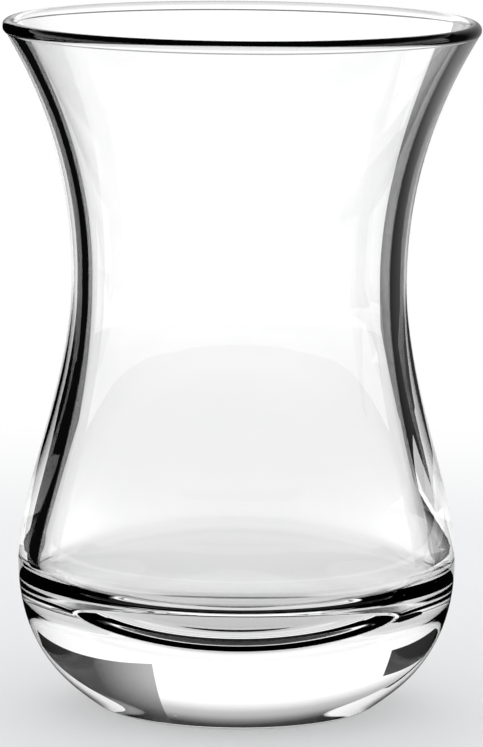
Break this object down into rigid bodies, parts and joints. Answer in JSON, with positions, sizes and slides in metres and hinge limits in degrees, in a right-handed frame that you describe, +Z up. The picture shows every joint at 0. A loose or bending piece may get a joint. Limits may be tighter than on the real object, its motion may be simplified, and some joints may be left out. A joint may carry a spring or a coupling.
{
  "type": "turkish tea glass",
  "caption": "Small clear tea glass with a narrow waist, a round bulb, a flared lip with a fire-polished bead and a thick bottom; empty.",
  "frame": {"origin": "middle of the foot, at the surface that the glass stands on", "axes": "+Z up along the axis of the glass; X and Y are alike, since the glass is round"},
  "size_m": [0.0594, 0.0594, 0.086],
  "materials": {
    "clear_glass": "smooth fire-polished clear soda-lime glass"
  },
  "bodies": {
    "root": {"glass": "clear_glass"}
  },
  "joints": []
}
